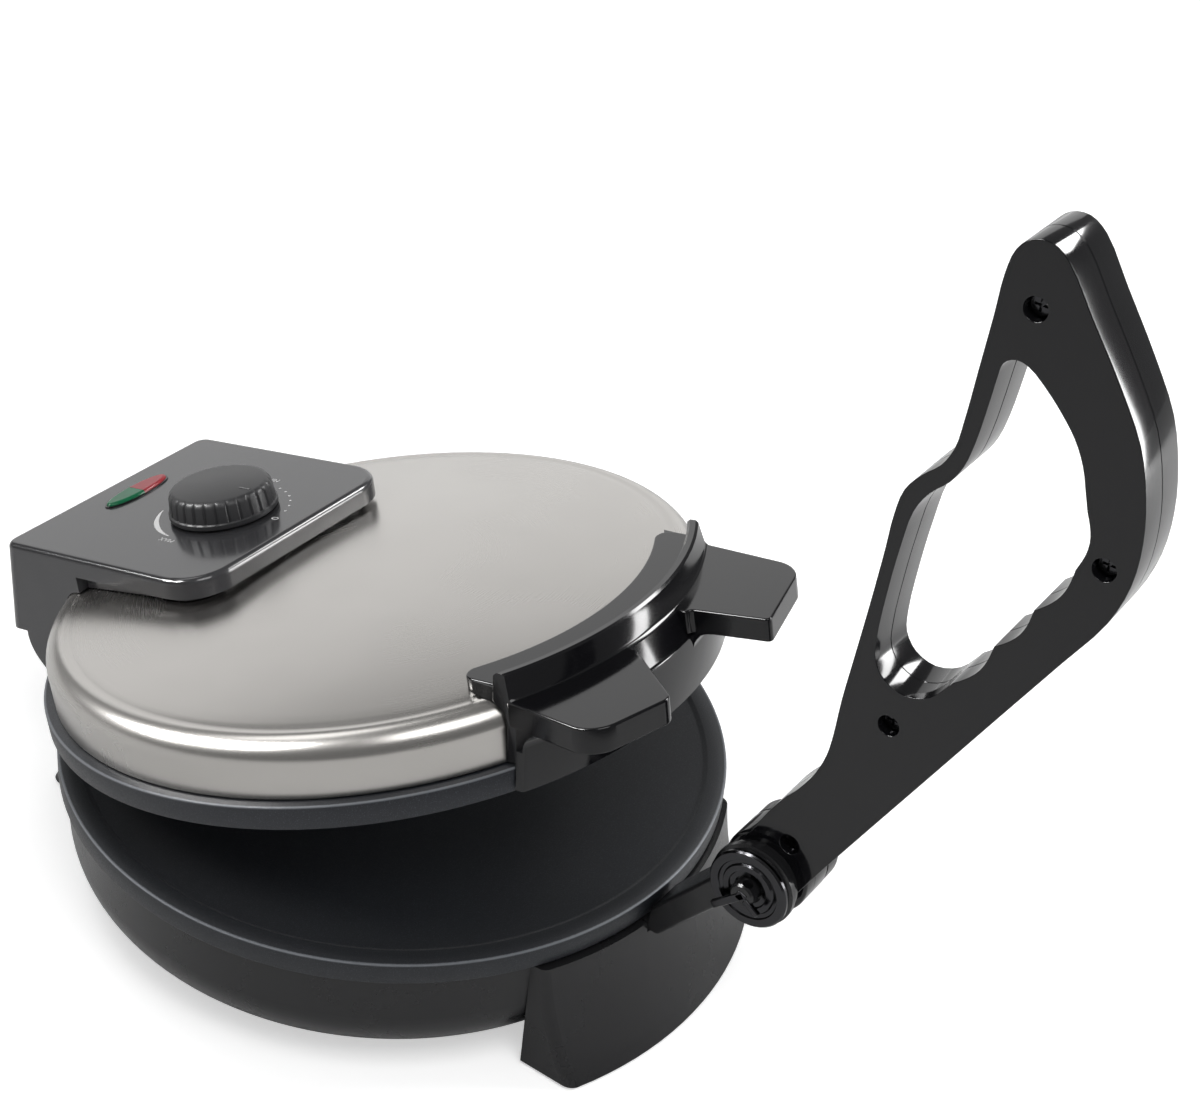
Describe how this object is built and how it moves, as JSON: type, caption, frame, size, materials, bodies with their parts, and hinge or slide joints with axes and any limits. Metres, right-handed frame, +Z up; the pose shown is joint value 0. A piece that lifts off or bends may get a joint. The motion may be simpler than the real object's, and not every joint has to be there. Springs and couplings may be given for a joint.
{
  "type": "electric roti maker",
  "caption": "Countertop flatbread cooker with two round heated plates, hinged steel lid, control box with dial, and a tall press lever on a side arm.",
  "frame": {"origin": "on the table, under the middle of the machine's bounding box at rest", "axes": "-Y towards the front, where the press lever stands; +Y towards the hinge and the control box; +X across the machine; +Z up"},
  "size_m": [0.274, 0.4562, 0.3723],
  "materials": {
    "moulding_black": "gloss moulding",
    "lever_black": "high gloss",
    "rubber_black": "matt",
    "cast_plate": "dark non-stick coating on cast aluminium",
    "sheet_steel": "plain",
    "screw_steel": "plated",
    "arm_black": "gloss black paint",
    "lid_steel": "satin",
    "box_grey": "dark grey gloss moulding",
    "knob_black": "satin",
    "lens_green": "clear green",
    "lens_red": "clear red",
    "holder_white": "matt"
  },
  "bodies": {
    "base": {"housing": "moulding_black", "foot_covers": "moulding_black", "foot_pads": "rubber_black", "lower_plate": "cast_plate", "lower_heater": "sheet_steel", "lower_heat_shield": "sheet_steel", "lower_plate_bolts": "screw_steel", "lower_plate_spacers": "sheet_steel", "lever_arm": "arm_black", "lever_arm_screws": "screw_steel", "pivot_bolt": "screw_steel", "pivot_cap": "screw_steel", "split_pin": "screw_steel", "hinge_bracket": "arm_black", "hinge_bracket_screws": "screw_steel", "hinge_pins": "screw_steel"},
    "lid": {"lid_shell": "lid_steel", "lid_posts": "sheet_steel", "upper_plate": "cast_plate", "upper_heater": "sheet_steel", "upper_heat_shield": "sheet_steel", "lid_handle": "moulding_black", "handle_screws": "screw_steel", "control_box": "box_grey", "box_screws": "screw_steel", "box_rear_cover": "moulding_black", "lens_green": "lens_green", "lens_red": "lens_red", "lamp_holder": "holder_white", "thermostat_body": "sheet_steel", "cord_gland": "moulding_black"},
    "dial": {"knob": "knob_black", "thermostat_shaft": "sheet_steel"},
    "lever": {"lever_half_near": "lever_black", "lever_half_far": "lever_black", "lever_core": "sheet_steel", "lever_bush": "sheet_steel", "lever_screws": "screw_steel"}
  },
  "joints": [
    {"name": "lid_hinge", "type": "hinge", "parent": "base", "child": "lid", "pos_m": [0, 0.19153, 0.0532], "axis": [-1, 0, 0], "range_deg": [-14.9, 75]},
    {"name": "lever_pivot", "type": "hinge", "parent": "base", "child": "lever", "pos_m": [0, -0.12397, 0.0946], "axis": [1, 0, 0], "range_deg": [-35, 15]},
    {"name": "dial_turn", "type": "hinge", "parent": "lid", "child": "dial", "pos_m": [0, 0.15001, 0.12778], "axis": [0, 0.2571, 0.9664], "range_deg": [0, 270]}
  ]
}
